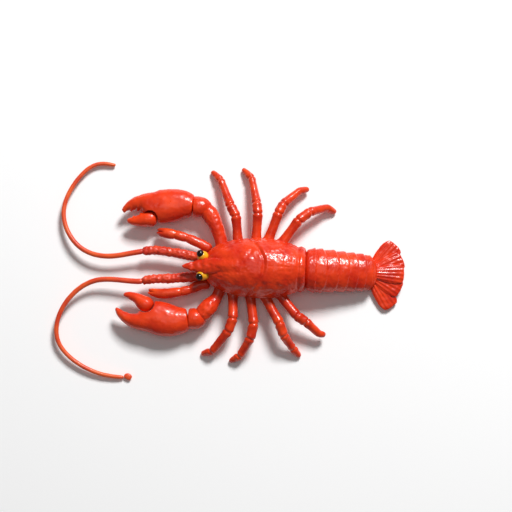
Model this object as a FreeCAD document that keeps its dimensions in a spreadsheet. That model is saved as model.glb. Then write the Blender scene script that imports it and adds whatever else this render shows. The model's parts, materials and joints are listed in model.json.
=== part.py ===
import FreeCAD, Part
import math
import os

# Toy lobster: two clamped shell halves carry plug-in limbs, two claw arms that lift at the
# shoulder and turn at the wrist, hinged claw fingers, two turning antennae and a turning tail.
# Head towards -X, the animal's right side towards +Y, back towards +Z. The origin is the middle
# of the flat rest face under the belly, and every size is in millimetres.

doc = FreeCAD.newDocument("toy_lobster")
V = FreeCAD.Vector

# ---- driving sizes ----------------------------------------------------------------------------
SIZES = {
    # shell
    "shell_front": 20.8,        # rest face centre to the front of the head
    "shell_rear": 15.6,         # rest face centre to the rear face
    "shell_width": 20.9,
    "shell_crown": 9.0,         # parting line to the top of the back
    "parting": 7.5,             # rest face to the line where the two halves meet
    "shell_wall": 1.6,
    "head_block": 7.0,          # solid head behind the front face
    "bulkhead": 7.0,            # solid rear end that holds the tail peg
    "lip_rise": 1.2,
    "rostrum_length": 8.4,
    "rostrum_root": 3.8,
    "rostrum_tip": 0.7,
    # fits
    "run_fit": 0.05,            # radial play of a turning peg
    "seat_fit": 0.1,            # play round the lip of the lower half
    "swing_gap": 0.35,          # space between faces that pass each other
    # tail
    "tail_length": 23.4,
    "tail_width": 16.0,
    "tail_depth": 12.6,
    "tail_peg": 4.4,
    "collar": 6.4,
    "collar_thickness": 1.4,
    "collar_inset": 3.8,        # rear face of the shell to the collar
    "fan_length": 12.0,
    "lobe_width": 7.0,
    "lobe_thickness": 2.0,
    # legs
    "leg_diameter": 3.2,
    "leg_height": 5.2,
    "leg_seat": 2.7,            # how far a leg sits in its socket
    "leg_reach": 26.0,          # root to tip, seen from above, of a leg stretched straight out
    # claw arms
    "shoulder_x": -14.8,
    "shoulder_height": 5.2,
    "shoulder_inset": 2.25,     # widest point of the flank in to the flat seat of the shoulder
    "shoulder_peg": 3.6,
    "shoulder_peg_length": 4.0,
    "arm_diameter": 4.6,
    "arm_reach": 13.3,          # shoulder seat to the middle of the wrist, across the body
    "wrist_diameter": 7.6,
    "wrist_length": 5.4,
    "wrist_peg": 3.0,
    "wrist_peg_length": 3.2,
    # claws
    "claw_length": 25.4,
    "claw_width": 12.4,
    "claw_depth": 8.0,
    "finger_length": 11.0,
    "knuckle": 5.2,
    "lug": 2.4,
    "lug_width": 3.2,
    "pin": 1.2,
    # head
    "antenna_spacing": 6.4,
    "antenna_height": 5.8,
    "antenna_base": 3.2,
    "antenna_base_length": 23.4,
    "antenna_peg": 2.4,
    "antenna_peg_length": 3.4,
    "whip": 1.7,
    "eye": 3.8,
    "eye_spacing": 7.8,
    "eye_height": 9.8,
    "pupil": 2.6,
    "mouth_limb": 2.8,
    "mouth_seat": 1.7,
}

sheet = doc.addObject("Spreadsheet::Sheet", "sizes")
for row, (alias, value) in enumerate(SIZES.items(), start=1):
    sheet.set(f"A{row}", alias)
    sheet.set(f"B{row}", str(value))
    sheet.setAlias(f"B{row}", alias)
doc.recompute()

SIDES = {"right": 1, "left": -1}
SUB_PARTS = []


def size(alias):
    """The value of one driving size, in millimetres."""
    return float(getattr(sheet, alias))


def cell(alias, share=1.0):
    """Expression for a share of one driving size."""
    return f"{share:.4f} * sizes.{alias}"


def sub_part(obj, label):
    """Register a finished piece under the name of its file."""
    obj.Label = label
    SUB_PARTS.append(obj)
    return obj


# ---- primitives and booleans ------------------------------------------------------------------
def ball(name, centre, radius):
    obj = doc.addObject("Part::Sphere", name)
    obj.setExpression("Radius", radius)
    obj.Placement = FreeCAD.Placement(centre, FreeCAD.Rotation())
    return obj


def along(start, end):
    """Placement that lays the local Z axis on the line from start to end."""
    return FreeCAD.Placement(start, FreeCAD.Rotation(V(0, 0, 1), end - start))


def rod(name, start, end, radius):
    obj = doc.addObject("Part::Cylinder", name)
    obj.setExpression("Radius", radius)
    obj.Height = (end - start).Length
    obj.Placement = along(start, end)
    return obj


def taper(name, start, end, radius_start, radius_end):
    obj = doc.addObject("Part::Cone", name)
    obj.setExpression("Radius1", radius_start)
    obj.setExpression("Radius2", radius_end)
    obj.Height = (end - start).Length
    obj.Placement = along(start, end)
    return obj


def block(name, low, high):
    obj = doc.addObject("Part::Box", name)
    obj.Length, obj.Width, obj.Height = high - low
    obj.Placement = FreeCAD.Placement(low, FreeCAD.Rotation())
    return obj


def fuse(name, pieces):
    obj = doc.addObject("Part::MultiFuse", name)
    obj.Shapes = pieces
    return obj


def common(name, base, tool):
    obj = doc.addObject("Part::Common", name)
    obj.Base = base
    obj.Tool = tool
    return obj


def cut(name, base, *tools):
    """Take one or more tools from a base, one after another."""
    for number, tool in enumerate(tools, start=1):
        obj = doc.addObject("Part::Cut", name if number == len(tools) else f"{name}_step{number}")
        obj.Base = base
        obj.Tool = tool
        base = obj
    return base


def upright(centre, direction):
    """Placement of a section square to a direction, its first axis level."""
    level = V(0, 0, 1).cross(direction)
    return FreeCAD.Placement(centre, FreeCAD.Rotation(level, direction.cross(level), direction, "ZXY"))


def loft(name, sections, ruled):
    obj = doc.addObject("Part::Loft", name)
    obj.Sections = sections
    obj.Solid = True
    obj.Ruled = ruled
    return obj


def oval_loft(name, stations, ruled=False):
    """Solid through upright ovals; a station is its centre and its half-width and half-depth.

    An oval is never deeper than it is wide.
    """
    ovals = []
    for number, (centre, half_width, half_depth) in enumerate(stations, start=1):
        oval = doc.addObject("Part::Ellipse", f"{name}_oval{number}")
        oval.setExpression("MajorRadius", half_width)
        oval.setExpression("MinorRadius", f"min({half_width}; {half_depth})")
        oval.Placement = upright(centre, V(1, 0, 0))
        ovals.append(oval)
    return loft(name, ovals, ruled)


def jointed_limb(name, points, shares, diameter):
    """Straight tapered segments between points; the thickness at each is a share of a diameter."""
    rounds = []
    for number, (point, share) in enumerate(zip(points, shares)):
        before = points[max(number - 1, 0)]
        after = points[min(number + 1, len(points) - 1)]
        direction = V(0, 0, 0)
        for step in (point - before, after - point):
            direction += step * (1 / step.Length if step.Length else 0)
        ring = doc.addObject("Part::Circle", f"{name}_round{number + 1}")
        ring.setExpression("Radius", cell(diameter, share / 2))
        ring.Placement = upright(point, direction)
        rounds.append(ring)
    return loft(name, rounds, ruled=True)


# ---- shell ------------------------------------------------------------------------------------
# Each station: share of the length from the front, then shares of the width and of the crown.
SHELL_SHAPE = [
    (0.000, 0.600, 0.42), (0.105, 0.785, 0.66), (0.235, 0.905, 0.84), (0.450, 0.990, 0.98),
    (0.650, 1.000, 1.00), (0.800, 0.915, 0.94), (0.915, 0.760, 0.82), (1.000, 0.720, 0.76),
]
SHELL_LENGTH = size("shell_front") + size("shell_rear")
FRONT = -size("shell_front")
REAR = size("shell_rear")
PARTING = size("parting")


def shell_station(share, width, crown, inset):
    centre = V(FRONT + share * SHELL_LENGTH, 0, PARTING)
    return (centre, f"{width / 2:.4f} * sizes.shell_width - {inset}",
            f"{crown:.4f} * sizes.shell_crown - {inset}")


def shell_form(name, inset):
    return oval_loft(name, [shell_station(*station, inset) for station in SHELL_SHAPE])


def hollow_form(name, inset):
    """Inside of the shell, between the solid head block and the rear bulkhead."""
    room = block(f"{name}_room", V(FRONT + size("head_block"), -size("shell_width"), 0),
                 V(REAR - size("bulkhead"), size("shell_width"), PARTING + size("shell_crown")))
    return common(name, shell_form(f"{name}_inside", inset), room)


shell_box_low = V(2 * FRONT, -size("shell_width"), PARTING)
shell_box_high = V(2 * REAR, size("shell_width"), PARTING + 2 * size("shell_crown"))
upper_room = block("upper_room", shell_box_low, shell_box_high)
lower_room = block("lower_room", V(shell_box_low.x, shell_box_low.y, 0),
                   V(shell_box_high.x, shell_box_high.y, PARTING))
lip_room = block("lip_room", V(shell_box_low.x, shell_box_low.y, PARTING - size("lip_rise")),
                 V(shell_box_high.x, shell_box_high.y, PARTING + size("lip_rise")))

upper_form = common("upper_form", shell_form("outer_form_upper", "0"), upper_room)
lower_form = common("lower_form", shell_form("outer_form_lower", "0"), lower_room)
hollow = hollow_form("hollow", "sizes.shell_wall")
lip = common("lip", hollow_form("lip_form", "(sizes.shell_wall + sizes.seat_fit)"), lip_room)

# Socket of the tail peg, half in each shell half.
tail_axis_point = V(REAR, 0, PARTING)
collar_rear = REAR - size("collar_inset")
peg_socket = rod("tail_peg_socket", V(REAR - size("bulkhead"), 0, PARTING), tail_axis_point + V(1, 0, 0),
                 "sizes.tail_peg / 2 + sizes.run_fit")
collar_socket = rod(
    "tail_collar_socket",
    V(collar_rear - size("collar_thickness") - size("swing_gap"), 0, PARTING),
    V(collar_rear + size("swing_gap"), 0, PARTING),
    "sizes.collar / 2 + sizes.swing_gap",
)
tail_socket = fuse("tail_socket", [peg_socket, collar_socket])

# ---- head -------------------------------------------------------------------------------------
eye_x = FRONT - 0.4
rostrum_height = PARTING + 0.32 * size("shell_crown")
rostrum = taper("rostrum", V(FRONT + 3.0, 0, rostrum_height),
                V(FRONT - size("rostrum_length") + 1.0, 0, rostrum_height + 0.3),
                cell("rostrum_root", 0.5), cell("rostrum_tip", 0.5))
rostrum_point = ball("rostrum_point", V(FRONT - size("rostrum_length") + 1.0, 0, rostrum_height + 0.3),
                     cell("rostrum_tip", 0.5))

eye_balls = {}
for side, sign in SIDES.items():
    centre = V(eye_x, sign * size("eye_spacing") / 2, size("eye_height"))
    pupil_centre = centre + V(-1.5, sign * 1.2, 0.5)
    pupil = ball(f"{side}_pupil_form", pupil_centre, cell("pupil", 0.5))
    eye_balls[side] = ball(f"{side}_eye_ball", centre, cell("eye", 0.5))
    eye = cut(f"{side}_eye_form", eye_balls[side], pupil)
    sub_part(eye, f"{side}_eye")
    sub_part(pupil, f"{side}_pupil")

# ---- walking legs -----------------------------------------------------------------------------
# Each leg: where its root leaves the shell along X, then its knees, ankle and tip as shares of
# the reach, away from the root along X and outwards, and how far its tip stays off the surface.
LEG_SHAPE = {
    ("right", 1): (-8.9, [(-0.04, 0.37), (-0.12, 0.52), (-0.28, 0.89), (-0.41, 1.02)], 0.0),
    ("right", 2): (-2.5, [(0.01, 0.38), (-0.01, 0.53), (-0.09, 0.91), (-0.22, 1.05)], 0.0),
    ("right", 3): (1.8, [(0.13, 0.39), (0.20, 0.53), (0.42, 0.74), (0.55, 0.79)], 1.2),
    ("right", 4): (6.9, [(0.22, 0.32), (0.37, 0.45), (0.62, 0.55), (0.74, 0.49)], 0.0),
    ("left", 1): (-10.0, [(0.01, 0.36), (-0.05, 0.53), (-0.27, 0.82), (-0.41, 0.85)], 0.0),
    ("left", 2): (-4.0, [(0.07, 0.42), (0.03, 0.61), (-0.11, 0.86), (-0.25, 0.94)], 0.0),
    ("left", 3): (0.7, [(0.24, 0.42), (0.30, 0.57), (0.43, 0.75), (0.55, 0.86)], 0.0),
    ("left", 4): (6.0, [(0.27, 0.32), (0.40, 0.40), (0.60, 0.56), (0.67, 0.57)], 2.2),
}
LEG_SHARES = [0.86, 0.98, 0.92, 0.84, 0.66, 0.40]     # thickness at the peg, root, knees, ankle, tip
LEG_RISE = [2.0, 1.2, -2.2]                           # knees and ankle against the root
ROOT_OUT = 0.43 * size("shell_width")                 # middle of the body to a leg's root

planted_sockets = []


def plant(label, root, line, shares, diameter, depth):
    """Limb whose first segment runs straight back into a socket of the belly shell."""
    outwards = (line[0] - root).normalize()
    seat = root - outwards * depth
    limb = jointed_limb(f"{label}_form", [seat, root] + line, shares, diameter)
    sub_part(limb, label)
    planted_sockets.append(rod(f"{label}_socket", seat, root + outwards * 5,
                               f"{cell(diameter, max(shares[:3]) / 2)} + sizes.run_fit"))


for (side, number), (root_x, steps, lift) in LEG_SHAPE.items():
    sign = SIDES[side]
    root = V(root_x, sign * ROOT_OUT, size("leg_height"))
    heights = [size("leg_height") + rise for rise in LEG_RISE]
    heights.append(LEG_SHARES[-1] * size("leg_diameter") / 2 + lift)
    line = [V(root_x + step_x * size("leg_reach"), sign * (ROOT_OUT + step_out * size("leg_reach")), height)
            for (step_x, step_out), height in zip(steps, heights)]
    plant(f"{side}_leg_{number}", root, line, LEG_SHARES, "leg_diameter", size("leg_seat"))

# ---- small mouth limbs, one each side of the head ------------------------------------------------
# From the seat in the head: a knee, a wrist and a blunt tip, as offsets along X and outwards.
MOUTH_SHAPE = {
    "right": [(-2.8, 1.9, 0.1), (-7.6, 3.7, 0.3), (-15.4, 5.0, -0.2), (-18.9, 5.9, -0.7)],
    "left": [(-2.6, 2.3, 0.1), (-9.0, 3.3, 0.3), (-16.2, 4.0, -0.2), (-20.4, 3.2, -0.7)],
}
MOUTH_SHARES = [0.8, 0.9, 0.97, 0.96, 0.9, 0.72]
for side, sign in SIDES.items():
    root = V(FRONT + 1.8, sign * 6.5, size("leg_height") - 0.6)
    line = [root + V(x, sign * out, rise) for x, out, rise in MOUTH_SHAPE[side]]
    plant(f"{side}_mouth_limb", root, line, MOUTH_SHARES, "mouth_limb", size("mouth_seat"))

# ---- claw arms --------------------------------------------------------------------------------
# Elbow line of each arm, from the shoulder seat to the middle of the wrist: shares of the reach.
ARM_SHAPE = {
    "right": [(-0.11, 0.27), (-0.26, 0.58), (-0.38, 0.84), (-0.62, 1.00)],
    "left": [(-0.11, 0.14), (-0.26, 0.36), (-0.42, 0.57), (-0.64, 0.78)],
}
ARM_SHARES = [0.94, 0.98, 1.02, 1.14, 1.24]
shoulder_cuts = []
wrist_middle = {}
for side, sign in SIDES.items():
    reach = size("arm_reach")
    shoulder_out = size("shell_width") / 2 - size("shoulder_inset")
    shoulder = V(size("shoulder_x"), sign * shoulder_out, size("shoulder_height"))
    seat = shoulder + V(0, sign * size("swing_gap"), 0)
    line = [seat + V(x * reach, sign * out * reach, 0) for x, out in ARM_SHAPE[side]]
    upper = jointed_limb(f"{side}_arm_line", [seat, seat + V(0, sign * 1.4, 0)] + line[:3], ARM_SHARES,
                         "arm_diameter")
    peg_end = shoulder - V(0, sign * size("shoulder_peg_length"), 0)
    peg = rod(f"{side}_shoulder_peg", peg_end, seat + V(0, sign * 0.5, 0), cell("shoulder_peg", 0.5))
    arm = fuse(f"{side}_arm_form", [upper, peg])
    sub_part(arm, f"{side}_arm")

    # Round seat and peg socket in the shell.
    shoulder_cuts.append(rod(f"{side}_shoulder_seat_cut", shoulder, shoulder + V(0, sign * 12, 0),
                             "0.5 * sizes.arm_diameter + 2 * sizes.swing_gap"))
    shoulder_cuts.append(rod(f"{side}_shoulder_socket", peg_end - V(0, sign * size("swing_gap"), 0),
                             shoulder + V(0, sign * 1, 0), "sizes.shoulder_peg / 2 + sizes.run_fit"))

    # Wrist: a short round block between the elbow and the claw, with a flat front face.
    middle = line[3]
    wrist_middle[side] = middle
    half = size("wrist_length") / 2
    wrist_form = oval_loft(f"{side}_wrist_block", [
        (middle + V(half, 0, 0), cell("wrist_diameter", 0.40), cell("wrist_diameter", 0.34)),
        (middle, cell("wrist_diameter", 0.51), cell("wrist_diameter", 0.48)),
        (middle - V(half, 0, 0), cell("wrist_diameter", 0.44), cell("wrist_diameter", 0.40)),
    ])
    front = middle - V(half, 0, 0)
    wrist_peg = rod(f"{side}_wrist_peg", front + V(1.0, 0, 0), front - V(size("wrist_peg_length"), 0, 0),
                    cell("wrist_peg", 0.5))
    wrist = fuse(f"{side}_wrist_form", [cut(f"{side}_wrist_trim", wrist_form, arm), wrist_peg])
    sub_part(wrist, f"{side}_wrist")

# ---- claws ------------------------------------------------------------------------------------
# Palm and fixed finger: share of the claw length from the wrist, sideways shift outwards from the
# wrist axis, half-width and half-depth, the last three as shares of the width and the depth.
CLAW_SHAPE = {
    "right": [(0.00, 0.02, 0.35, 0.40), (0.10, 0.07, 0.43, 0.45), (0.32, 0.02, 0.49, 0.50),
              (0.52, -0.02, 0.48, 0.48), (0.68, 0.09, 0.29, 0.40), (0.82, 0.04, 0.20, 0.30),
              (0.93, -0.07, 0.13, 0.20), (1.00, -0.19, 0.06, 0.09)],
    "left": [(0.00, 0.02, 0.35, 0.40), (0.12, 0.06, 0.42, 0.45), (0.34, 0.02, 0.50, 0.50),
             (0.52, -0.02, 0.49, 0.48), (0.68, 0.12, 0.26, 0.40), (0.82, 0.08, 0.17, 0.30),
             (0.93, -0.03, 0.12, 0.20), (1.00, -0.18, 0.06, 0.09)],
}
# Knuckle of the moving finger: back along the claw as a share of its length, and inwards from the
# wrist axis as a share of its width. Then the finger's line from it, as shares of its own length.
KNUCKLE_PLACE = {"right": (0.587, 0.415), "left": (0.584, 0.38)}
FINGER_SHAPE = {
    "right": [(0.32, 0.055), (0.50, 0.09), (0.68, 0.08), (0.80, 0.065)],
    "left": [(0.28, 0.15), (0.53, 0.28), (0.70, 0.31), (0.80, 0.27)],
}
FINGER_HALF = [(0.17, 0.26), (0.13, 0.20), (0.08, 0.12), (0.03, 0.04)]
for side, sign in SIDES.items():
    wrist_face = wrist_middle[side] - V(size("wrist_length") / 2 + size("swing_gap"), 0, 0)
    length, width, depth = size("claw_length"), size("claw_width"), size("claw_depth")
    palm_form = oval_loft(f"{side}_palm_form", [
        (wrist_face + V(-share * length, sign * shift * width, 0),
         cell("claw_width", half_width), cell("claw_depth", half_depth))
        for share, shift, half_width, half_depth in CLAW_SHAPE[side]])
    back, inward = KNUCKLE_PLACE[side]
    knuckle = wrist_face + V(-back * length, -sign * inward * width, 0)
    rise = V(0, 0, depth)
    seat_cut = rod(f"{side}_knuckle_seat", knuckle - rise, knuckle + rise,
                   "sizes.knuckle / 2 + sizes.swing_gap")
    peg_cut = rod(f"{side}_wrist_socket", wrist_face + V(1, 0, 0),
                  wrist_face - V(size("wrist_peg_length"), 0, 0), "sizes.wrist_peg / 2 + sizes.run_fit")
    half_lug = V(0, 0, size("lug") / 2)
    lug_ring = rod(f"{side}_lug_ring", knuckle - half_lug, knuckle + half_lug, cell("lug_width", 0.5))
    lug_arm = block(f"{side}_lug_arm", knuckle - half_lug - V(0, size("lug_width") / 2, 0),
                    knuckle + half_lug + V(size("knuckle") / 2 + 1.0, size("lug_width") / 2, 0))
    palm_open = cut(f"{side}_palm_open", palm_form, seat_cut, peg_cut)
    pin_line = V(0, 0, 0.30 * depth)
    pin = rod(f"{side}_pin_form", knuckle - pin_line, knuckle + pin_line, cell("pin", 0.5))
    claw = cut(f"{side}_claw_form", fuse(f"{side}_claw_lugged", [palm_open, lug_ring, lug_arm]), pin)
    sub_part(claw, f"{side}_claw")
    sub_part(pin, f"{side}_claw_pin")

    # Moving finger: a tapered line of ovals that grows out of a forked round knuckle.
    reach = size("finger_length")
    finger_line = [(knuckle, cell("knuckle", 0.40), cell("claw_depth", 0.34))]
    for (step, shift), (half_width, half_depth) in zip(FINGER_SHAPE[side], FINGER_HALF):
        centre = knuckle + V(-step * reach, -sign * shift * reach, 0)
        finger_line.append((centre, cell("claw_width", half_width), cell("claw_depth", half_depth)))
    blade = oval_loft(f"{side}_finger_blade", finger_line)
    disc_rise = V(0, 0, 0.31 * depth)
    disc = rod(f"{side}_knuckle_disc", knuckle - disc_rise, knuckle + disc_rise, cell("knuckle", 0.5))
    slot_rise = half_lug + V(0, 0, size("swing_gap") / 2)
    fork_cut = rod(f"{side}_fork_slot", knuckle - slot_rise, knuckle + slot_rise,
                   "sizes.lug_width / 2 + 3 * sizes.swing_gap")
    fork_mouth = block(f"{side}_fork_mouth", knuckle - slot_rise - V(0.2, size("knuckle"), 0),
                       knuckle + slot_rise + V(size("knuckle"), size("knuckle"), 0))
    pin_bore = rod(f"{side}_pin_bore", knuckle - rise, knuckle + rise, "sizes.pin / 2 + sizes.run_fit")
    finger = cut(f"{side}_finger_form", fuse(f"{side}_finger_joined", [blade, disc]),
                 fork_cut, fork_mouth, pin_bore)
    sub_part(finger, f"{side}_claw_finger")

# ---- antennae ---------------------------------------------------------------------------------


def rounded_route(name, points):
    """Straight runs joined by tangent arcs, each as large as its two runs allow."""
    edges = []
    start = points[0]
    for before, corner, after in zip(points, points[1:], points[2:]):
        to_before, to_after = before - corner, after - corner
        half_turn = (math.pi - to_before.getAngle(to_after)) / 2
        trim = 0.45 * min(to_before.Length, to_after.Length)
        radius = trim / math.tan(half_turn)
        first = corner + to_before.normalize() * trim
        last = corner + to_after.normalize() * trim
        middle_line = (to_before + to_after).normalize()
        middle = corner + middle_line * (radius / math.cos(half_turn) - radius)
        edges.append(Part.makeLine(start, first))
        edges.append(Part.Arc(first, middle, last).toShape())
        start = last
    edges.append(Part.makeLine(start, points[-1]))
    route = doc.addObject("Part::Feature", name)
    route.Shape = Part.Wire(edges)
    return route


# Steps of each base from its seat, then the route of each whip from the end of the base:
# along X, outwards, and height over the rest face.
BASE_SHAPE = {
    "right": [(-0.38, 1.2), (-0.66, 2.0), (-1.00, 1.4)],
    "left": [(-0.38, 1.1), (-0.66, 1.6), (-1.00, 2.8)],
}
WHIP_ROUTE = {
    "right": [(-10.2, -1.7, 5.2), (-19.4, -0.6, 4.5), (-26.4, 6.0, 3.7), (-29.0, 14.4, 3.0),
              (-26.6, 23.6, 2.3), (-20.6, 31.3, 1.6), (-11.2, 32.6, 1.0)],
    "left": [(-8.6, -0.8, 5.2), (-17.4, 0.1, 4.5), (-24.8, 5.2, 3.8), (-29.0, 12.8, 3.2),
             (-29.4, 20.6, 2.6), (-25.0, 27.2, 2.1), (-15.6, 32.6, 1.5), (-3.6, 34.8, 1.0)],
}
antenna_sockets = []
for side, sign in SIDES.items():
    seat = V(FRONT - size("swing_gap"), sign * size("antenna_spacing") / 2, size("antenna_height"))
    reach = size("antenna_base_length")
    line = [seat] + [seat + V(x * reach, sign * out, 0) for x, out in BASE_SHAPE[side]]
    peg_end = seat + V(size("antenna_peg_length") + size("swing_gap"), 0, 0)
    stalk = jointed_limb(f"{side}_base_line", line, [0.90, 1.0, 0.94, 0.80], "antenna_base")
    peg = rod(f"{side}_antenna_peg", peg_end, seat - V(1, 0, 0), cell("antenna_peg", 0.5))
    end = line[-1]
    route = [end + V(1.2, 0, 0), end + V(-1.2, 0, 0)]
    route += [V(end.x + x, end.y + sign * out, height) for x, out, height in WHIP_ROUTE[side]]
    path = rounded_route(f"{side}_whip_route", route)
    section = doc.addObject("Part::Circle", f"{side}_whip_section")
    section.setExpression("Radius", cell("whip", 0.5))
    section.Placement = along(route[0], route[1])
    whip = doc.addObject("Part::Sweep", f"{side}_whip_form")
    whip.Sections = [section]
    doc.recompute()
    whip.Spine = (path, [f"Edge{number}" for number in range(1, len(path.Shape.Edges) + 1)])
    whip.Solid = True
    whip.Frenet = False
    sub_part(whip, f"{side}_antenna_whip")
    base = cut(f"{side}_antenna_form", fuse(f"{side}_antenna_joined", [stalk, peg]), whip)
    sub_part(base, f"{side}_antenna_base")
    antenna_sockets.append(rod(f"{side}_antenna_socket", peg_end + V(size("swing_gap"), 0, 0),
                               seat - V(1, 0, 0), "sizes.antenna_peg / 2 + sizes.run_fit"))

# ---- shell halves -----------------------------------------------------------------------------
carapace_hollow = cut("carapace_hollow", upper_form, hollow, tail_socket)
carapace_open = fuse("carapace_fronted", [carapace_hollow, rostrum, rostrum_point])
carapace = cut("carapace_form", carapace_open, *eye_balls.values(), *shoulder_cuts)
sub_part(carapace, "carapace")

belly_lipped = fuse("belly_lipped", [lower_form, lip])
belly = cut("belly_form", belly_lipped, tail_socket, *shoulder_cuts, *antenna_sockets, *planted_sockets)
sub_part(belly, "belly_shell")

# ---- tail -------------------------------------------------------------------------------------
# Each ring: share of the tail length where it starts, shares of the width and of the depth there,
# and the height of its middle. A ring closes in towards its rear edge, under the next one.
RING_SHAPE = [
    (0.00, 0.94, 1.00, 6.9), (0.13, 1.00, 0.97, 6.7), (0.30, 0.98, 0.92, 6.4), (0.47, 0.95, 0.85, 6.0),
    (0.64, 0.91, 0.77, 5.4), (0.80, 0.88, 0.68, 4.9), (1.00, 0.82, 0.56, 4.3),
]
RING_TAPER = 0.95
tail_front = REAR + size("swing_gap")
rings = []
for number, (ring, following) in enumerate(zip(RING_SHAPE, RING_SHAPE[1:]), start=1):
    share, width, depth, height = ring
    next_share, next_width, next_depth, next_height = following
    rings.append(oval_loft(f"ring{number}", [
        (V(tail_front + share * size("tail_length"), 0, height),
         cell("tail_width", width / 2), cell("tail_depth", depth / 2)),
        (V(tail_front + next_share * size("tail_length"), 0, next_height),
         cell("tail_width", RING_TAPER * next_width / 2), cell("tail_depth", RING_TAPER * next_depth / 2)),
    ], ruled=True))
tail_peg = rod("tail_peg", V(REAR - size("bulkhead") + size("swing_gap"), 0, PARTING),
               V(tail_front + 1, 0, PARTING), cell("tail_peg", 0.5))
tail_collar = rod("tail_collar", V(collar_rear - size("collar_thickness"), 0, PARTING),
                  V(collar_rear, 0, PARTING), cell("collar", 0.5))
abdomen = fuse("abdomen_form", rings + [tail_peg, tail_collar])
sub_part(abdomen, "abdomen")

# Fan: a middle lobe and two more each side. A lobe is its angle to the tail in degrees, its share
# of the fan length and the height of its middle.
FAN_SHAPE = [(0, 1.00, 3.7), (36, 1.10, 3.0), (-36, 1.08, 3.0), (64, 1.12, 2.2), (-64, 1.14, 2.1)]
fan_root = V(tail_front + size("tail_length") - 0.6, 0, 0)
lobes = []
for number, (angle, share, height) in enumerate(FAN_SHAPE, start=1):
    turn = FreeCAD.Rotation(V(0, 0, 1), angle)
    half_length = share * size("fan_length") / 2
    lobe = doc.addObject("Part::Ellipsoid", f"lobe{number}")
    lobe.setExpression("Radius1", cell("lobe_thickness", 0.5))
    lobe.setExpression("Radius2", cell("fan_length", share / 2))
    lobe.setExpression("Radius3", cell("lobe_width", 0.5))
    lobe.Placement = FreeCAD.Placement(fan_root + turn.multVec(V(half_length, 0, 0)) + V(0, 0, height), turn)
    lobes.append(lobe)
fan = cut("fan_form", fuse("fan_joined", lobes), abdomen)
sub_part(fan, "tail_fan")

# ---- checks and files -------------------------------------------------------------------------
doc.recompute()
for obj in doc.Objects:
    if "Invalid" in obj.State or "Error" in obj.State:
        raise RuntimeError(f"{obj.Name} did not build: {obj.State}")
for obj in SUB_PARTS:
    if obj.Shape.isNull() or not obj.Shape.isValid() or obj.Shape.Volume <= 0:
        raise RuntimeError(f"{obj.Label} has no valid solid")
    if len(obj.Shape.Solids) != 1:
        raise RuntimeError(f"{obj.Label} has {len(obj.Shape.Solids)} solids instead of one")

os.makedirs("parts", exist_ok=True)
for obj in SUB_PARTS:
    obj.Shape.exportStep(f"parts/{obj.Label}.step")
print(f"{len(SUB_PARTS)} sub-parts written")
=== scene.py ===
import bpy
import bmesh
import json
import math
from mathutils import Matrix, Vector, noise


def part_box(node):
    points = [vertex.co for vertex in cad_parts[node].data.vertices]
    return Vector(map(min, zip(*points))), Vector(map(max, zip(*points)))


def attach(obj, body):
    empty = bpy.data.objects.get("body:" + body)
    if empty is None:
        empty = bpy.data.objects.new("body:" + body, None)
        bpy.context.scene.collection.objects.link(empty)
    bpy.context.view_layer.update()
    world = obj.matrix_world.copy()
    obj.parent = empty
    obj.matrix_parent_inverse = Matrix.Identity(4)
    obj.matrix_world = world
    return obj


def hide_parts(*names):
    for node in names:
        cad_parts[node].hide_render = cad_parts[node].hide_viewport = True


# Toy lobster, moulded in glossy red-orange plastic. Head towards -X, its right side towards +Y.
# Shapes are worked out in millimetres and scaled to metres when a piece is finished.

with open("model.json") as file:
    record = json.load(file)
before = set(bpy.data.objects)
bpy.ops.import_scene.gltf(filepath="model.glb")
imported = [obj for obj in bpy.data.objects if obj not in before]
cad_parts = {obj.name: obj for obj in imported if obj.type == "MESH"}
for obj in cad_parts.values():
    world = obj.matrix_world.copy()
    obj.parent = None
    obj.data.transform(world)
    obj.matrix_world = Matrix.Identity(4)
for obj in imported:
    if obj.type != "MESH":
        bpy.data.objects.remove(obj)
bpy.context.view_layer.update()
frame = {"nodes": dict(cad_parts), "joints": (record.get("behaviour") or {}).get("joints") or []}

MM = 0.001
COARSE, MEDIUM, FINE = 2, 3, 4      # how often a cage is subdivided
FORWARDS = Vector((1, 0, 0))        # the body's long axis, front to rear
SIDES = {"right": 1, "left": -1}
JOINTS = {joint["name"]: joint for joint in frame["joints"]}


def joint_at(name):
    """Where a joint turns, in millimetres."""
    return Vector(JOINTS[name]["pos_m"]) / MM


def corners(node):
    """Lowest and highest corner of a construction node, in millimetres."""
    low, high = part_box(node)
    return low / MM, high / MM


# ---- mesh helpers -----------------------------------------------------------------------------
def oval(centre, along, half_width, half_depth):
    """Matrix that lays a unit circle square to a direction, its first axis level."""
    ahead = along.normalized()
    level = Vector((0, 0, 1)).cross(ahead).normalized()
    upward = ahead.cross(level)
    matrix = Matrix((level * half_width, upward * half_depth, ahead)).transposed().to_4x4()
    matrix.translation = centre
    return matrix


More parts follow.
